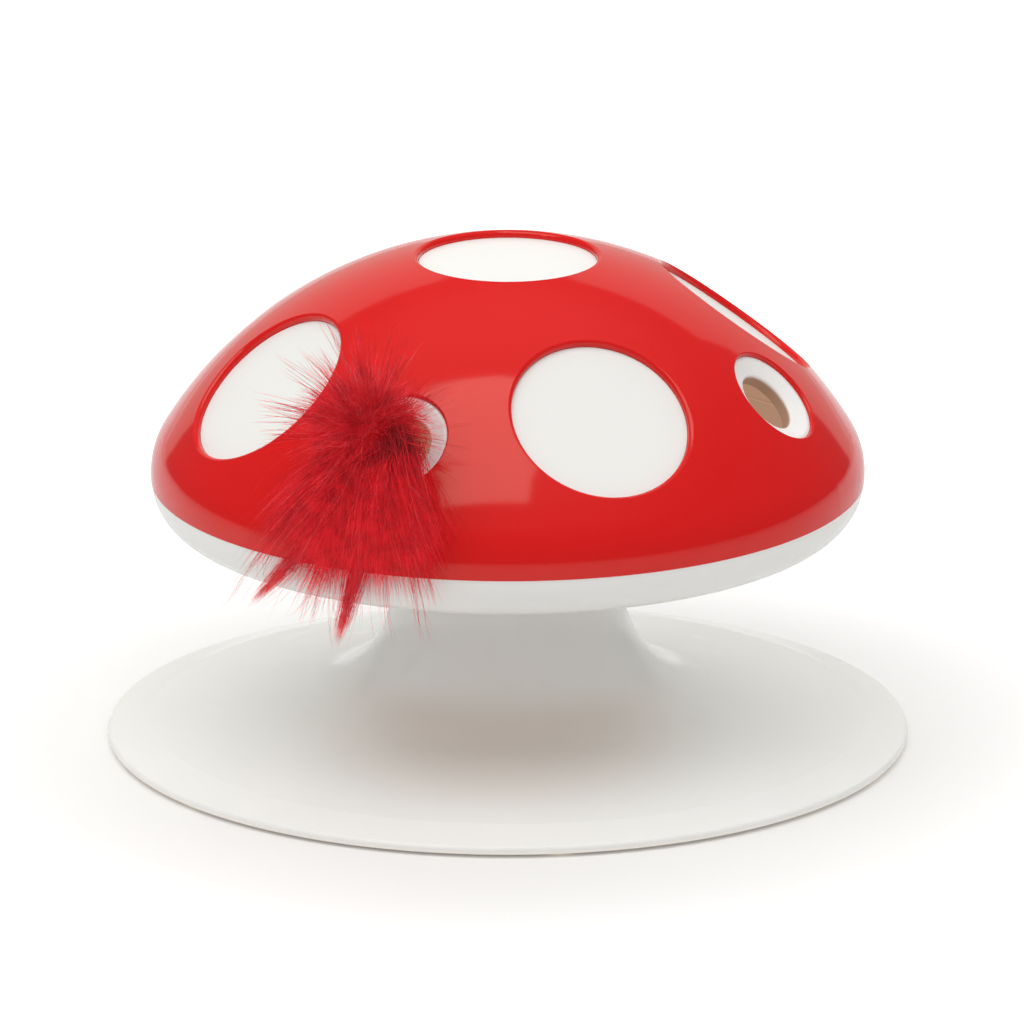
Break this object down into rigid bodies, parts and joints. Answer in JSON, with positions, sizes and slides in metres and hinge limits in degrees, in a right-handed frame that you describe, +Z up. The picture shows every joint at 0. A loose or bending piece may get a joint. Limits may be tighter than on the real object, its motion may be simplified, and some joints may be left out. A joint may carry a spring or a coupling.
{
  "type": "motorised feather wand toy",
  "caption": "Motorised cat feather toy: domed red cap with white spots and feather holes on a flared stem and wide base; a wand inside pushes a plume out of a hole, draws it back and turns.",
  "frame": {"origin": "on the floor under the centre of the base", "axes": "+Z up along the stem; -Y towards the hole that the plume comes out of at rest"},
  "size_m": [0.26, 0.26, 0.1618],
  "materials": {
    "cap_red": "glossy moulded red",
    "spot_white": "satin white",
    "ring_white": "glossy white",
    "body_white": "glossy moulded white",
    "door_white": "moulded, fine texture",
    "inner_ivory": "moulded",
    "nylon": "moulded",
    "steel": "zinc plated",
    "contact_brass": "bright",
    "rubber": "matte",
    "cell_jacket": "plain sleeve",
    "switch_black": "moulded",
    "knob_red": "moulded",
    "board_green": "solder mask",
    "felt": "felt",
    "feather": "dyed marabou feather"
  },
  "bodies": {
    "root": {"cap_shell": "cap_red", "top_spot": "spot_white", "side_spot_1": "spot_white", "side_spot_2": "spot_white", "side_spot_3": "spot_white", "side_spot_4": "spot_white", "hole_ring_1": "ring_white", "hole_ring_2": "ring_white", "hole_ring_3": "ring_white", "hole_ring_4": "ring_white", "lower_shell": "body_white", "cap_screws": "steel", "stem_base": "body_white", "stem_screws": "steel", "rubber_feet": "rubber", "battery_box": "inner_ivory", "box_screws": "steel", "battery_cells": "cell_jacket", "contact_plates": "contact_brass", "switch_body": "switch_black", "control_board": "board_green", "board_screws": "steel", "gear_housing": "inner_ivory", "motor_can": "steel", "clutch_washer": "felt", "neck_clip": "steel"},
    "carrier": {"carrier": "nylon", "carrier_cover": "nylon", "cover_screws": "steel", "detent_spring": "steel"},
    "feed": {"output_shaft": "steel", "feed_pinion": "nylon"},
    "wand": {"wand_rack": "nylon", "wand_post": "steel", "feather_ferrule": "contact_brass", "feather_plume": "feather"},
    "switch": {"switch_knob": "knob_red"},
    "door": {"battery_door": "door_white"}
  },
  "joints": [
    {"name": "carrier_spin", "type": "hinge", "parent": "root", "child": "carrier", "pos_m": [0, 0, 0.09], "axis": [0, 0, 1], "continuous": true, "deforming": ["detent_spring"]},
    {"name": "feed_spin", "type": "hinge", "parent": "carrier", "child": "feed", "pos_m": [0, 0, 0.1], "axis": [0, 0, 1], "range_deg": [0, 137.51]},
    {"name": "wand_slide", "type": "slide", "parent": "carrier", "child": "wand", "axis": [0, 1, 0], "range_m": [0, 0.03], "deforming": ["feather_plume"]},
    {"name": "switch_slide", "type": "slide", "parent": "root", "child": "switch", "axis": [1, 0, 0], "range_m": [0, 0.004]},
    {"name": "door_slide", "type": "slide", "parent": "root", "child": "door", "axis": [1, 0, 0], "range_m": [0, 0.056]}
  ],
  "couplings": [
    {"joint": "feed_spin", "follows": "wand_slide", "rad_per_m": 80}
  ]
}
